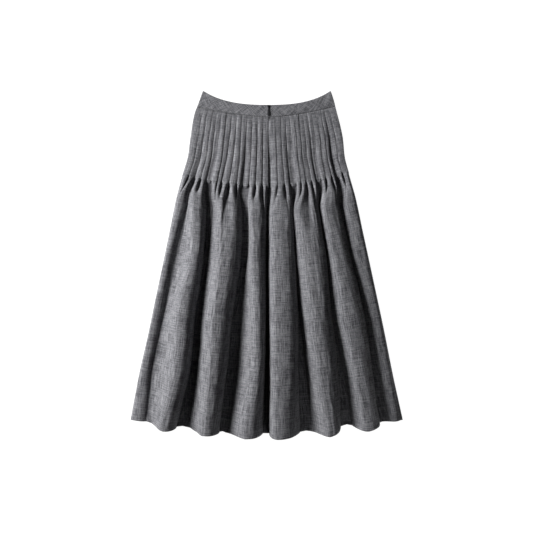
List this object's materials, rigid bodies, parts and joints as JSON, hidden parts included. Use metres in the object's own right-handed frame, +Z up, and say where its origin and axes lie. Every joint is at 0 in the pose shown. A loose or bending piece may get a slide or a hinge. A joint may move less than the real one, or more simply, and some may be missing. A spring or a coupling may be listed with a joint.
{
  "type": "full skirt",
  "caption": "Long full skirt laid flat with its back up: waistband, stitched tucks over the hips that open into deep soft folds, and a concealed zip at the centre back.",
  "frame": {"origin": "under the middle of the bounding box, on the surface that the skirt lies on", "axes": "+Z up from the surface to the back of the skirt, +Y towards the waist, -Y towards the hem, +X to the right as the back is seen"},
  "size_m": [0.6782, 0.858, 0.0576],
  "materials": {
    "heathered_cloth": "matt heathered charcoal plain weave with pale slubs",
    "zip_metal": "dark enamelled metal, slightly worn"
  },
  "bodies": {
    "skirt": {"front_panel": "heathered_cloth", "back_panel_left": "heathered_cloth", "back_panel_right": "heathered_cloth", "front_waistband": "heathered_cloth", "back_waistband_left": "heathered_cloth", "back_waistband_right": "heathered_cloth", "zip_coil": "zip_metal", "zip_slider": "zip_metal"},
    "pull_tab": {"zip_pull_tab": "zip_metal"}
  },
  "joints": [
    {"name": "pull_tab_hinge", "type": "hinge", "parent": "skirt", "child": "pull_tab", "pos_m": [0.00428, 0.38976, 0.0078], "axis": [-1, 0, 0], "range_deg": [0, 150]}
  ]
}
